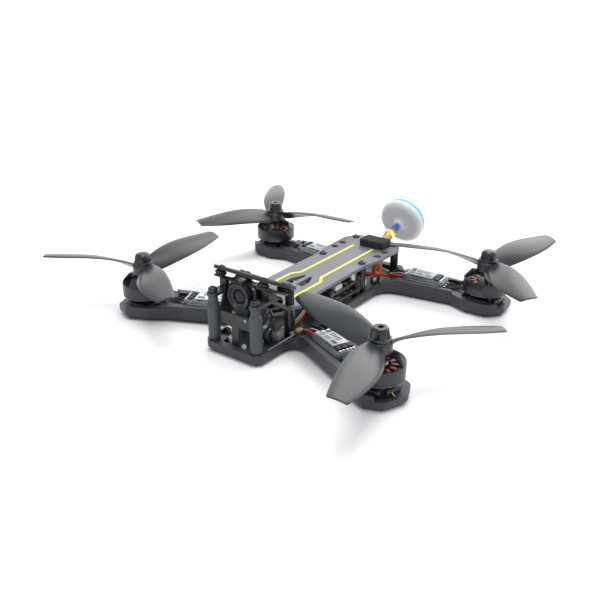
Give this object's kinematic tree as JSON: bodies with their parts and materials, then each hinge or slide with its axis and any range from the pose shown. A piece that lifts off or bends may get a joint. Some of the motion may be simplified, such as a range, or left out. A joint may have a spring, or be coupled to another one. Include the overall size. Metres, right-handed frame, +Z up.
{
  "type": "fpv racing drone",
  "caption": "Racing quadcopter with tri-blade propellers, a tilting nose camera, a damped action-camera plate and a mushroom antenna at the tail",
  "frame": {"origin": "on the ground under the tray, midway between the four motor axes", "axes": "+Z up; -Y towards the nose, where the camera looks; +X to the right-hand side as seen from the front, so the front right and rear right motors are at +X"},
  "size_m": [0.2768, 0.2574, 0.0504],
  "materials": {
    "moulding": "dark charcoal moulded plastic, satin",
    "plate": "grey matt sheet with yellow painted stripes",
    "sleeve": "dark grey satin sleeve",
    "black_metal": "black anodised, semi-gloss",
    "board": "circuit board with lacquer",
    "nylon": "black nylon",
    "shrink": "clear shrink over a pale label",
    "stator": "laminated core with copper windings",
    "propeller": "smoky grey, semi-gloss",
    "bracket": "dark satin sheet",
    "camera": "black satin housing",
    "lens_glass": "dark coated lens",
    "cage_plate": "dark satin sheet",
    "rubber": "black rubber",
    "foam": "black foam",
    "gold": "gold plated",
    "blue_plastic": "blue plastic",
    "white_plastic": "white plastic, satin",
    "cyan_plastic": "pale cyan plastic",
    "copper": "enamelled copper wire",
    "can": "aluminium can"
  },
  "bodies": {
    "airframe": {"action_camera_plate": "cage_plate", "antenna_boot": "blue_plastic", "antenna_cap": "cyan_plastic", "antenna_shell": "white_plastic", "cage_pillar_left": "rubber", "cage_pillar_right": "rubber", "cage_standoff_left": "black_metal", "cage_standoff_right": "black_metal", "cage_wedge_left": "cage_plate", "cage_wedge_right": "cage_plate", "camera_bracket": "bracket", "capacitor": "can", "choke_coil": "copper", "damper_front_left": "rubber", "damper_front_right": "rubber", "damper_plate": "cage_plate", "damper_rear_left": "rubber", "damper_rear_right": "rubber", "flight_controller": "board", "foam_block": "foam", "front_screw_left": "black_metal", "front_screw_right": "black_metal", "front_standoff_left": "sleeve", "front_standoff_right": "sleeve", "lower_frame": "moulding", "mid_standoff_left": "black_metal", "mid_standoff_right": "black_metal", "motor_stator_front_left": "stator", "motor_stator_front_right": "stator", "motor_stator_rear_left": "stator", "motor_stator_rear_right": "stator", "power_board": "board", "rear_standoff_left": "black_metal", "rear_standoff_right": "black_metal", "sma_connector": "gold", "speed_controller_front_left": "shrink", "speed_controller_front_right": "shrink", "speed_controller_rear_left": "shrink", "speed_controller_rear_right": "shrink", "stack_post_front_left": "nylon", "stack_post_front_right": "nylon", "stack_post_rear_left": "nylon", "stack_post_rear_right": "nylon", "top_plate": "plate", "video_transmitter": "black_metal"},
    "rotor_front_left": {"motor_bell_front_left": "black_metal", "propeller_front_left": "propeller", "prop_nut_front_left": "black_metal"},
    "rotor_front_right": {"motor_bell_front_right": "black_metal", "propeller_front_right": "propeller", "prop_nut_front_right": "black_metal"},
    "rotor_rear_left": {"motor_bell_rear_left": "black_metal", "propeller_rear_left": "propeller", "prop_nut_rear_left": "black_metal"},
    "rotor_rear_right": {"motor_bell_rear_right": "black_metal", "propeller_rear_right": "propeller", "prop_nut_rear_right": "black_metal"},
    "camera": {"camera_case": "camera", "camera_lens": "camera", "camera_glass": "lens_glass"}
  },
  "joints": [
    {"name": "spin_front_left", "type": "hinge", "parent": "airframe", "child": "rotor_front_left", "pos_m": [-0.085, -0.0664, 0.0305], "axis": [0, 0, 1], "continuous": true},
    {"name": "spin_front_right", "type": "hinge", "parent": "airframe", "child": "rotor_front_right", "pos_m": [0.085, -0.0664, 0.0305], "axis": [0, 0, 1], "continuous": true},
    {"name": "spin_rear_left", "type": "hinge", "parent": "airframe", "child": "rotor_rear_left", "pos_m": [-0.085, 0.0664, 0.0305], "axis": [0, 0, 1], "continuous": true},
    {"name": "spin_rear_right", "type": "hinge", "parent": "airframe", "child": "rotor_rear_right", "pos_m": [0.085, 0.0664, 0.0305], "axis": [0, 0, 1], "continuous": true},
    {"name": "camera_tilt", "type": "hinge", "parent": "airframe", "child": "camera", "pos_m": [0, -0.067, 0.035], "axis": [-1, 0, 0], "range_deg": [0, 25]}
  ]
}
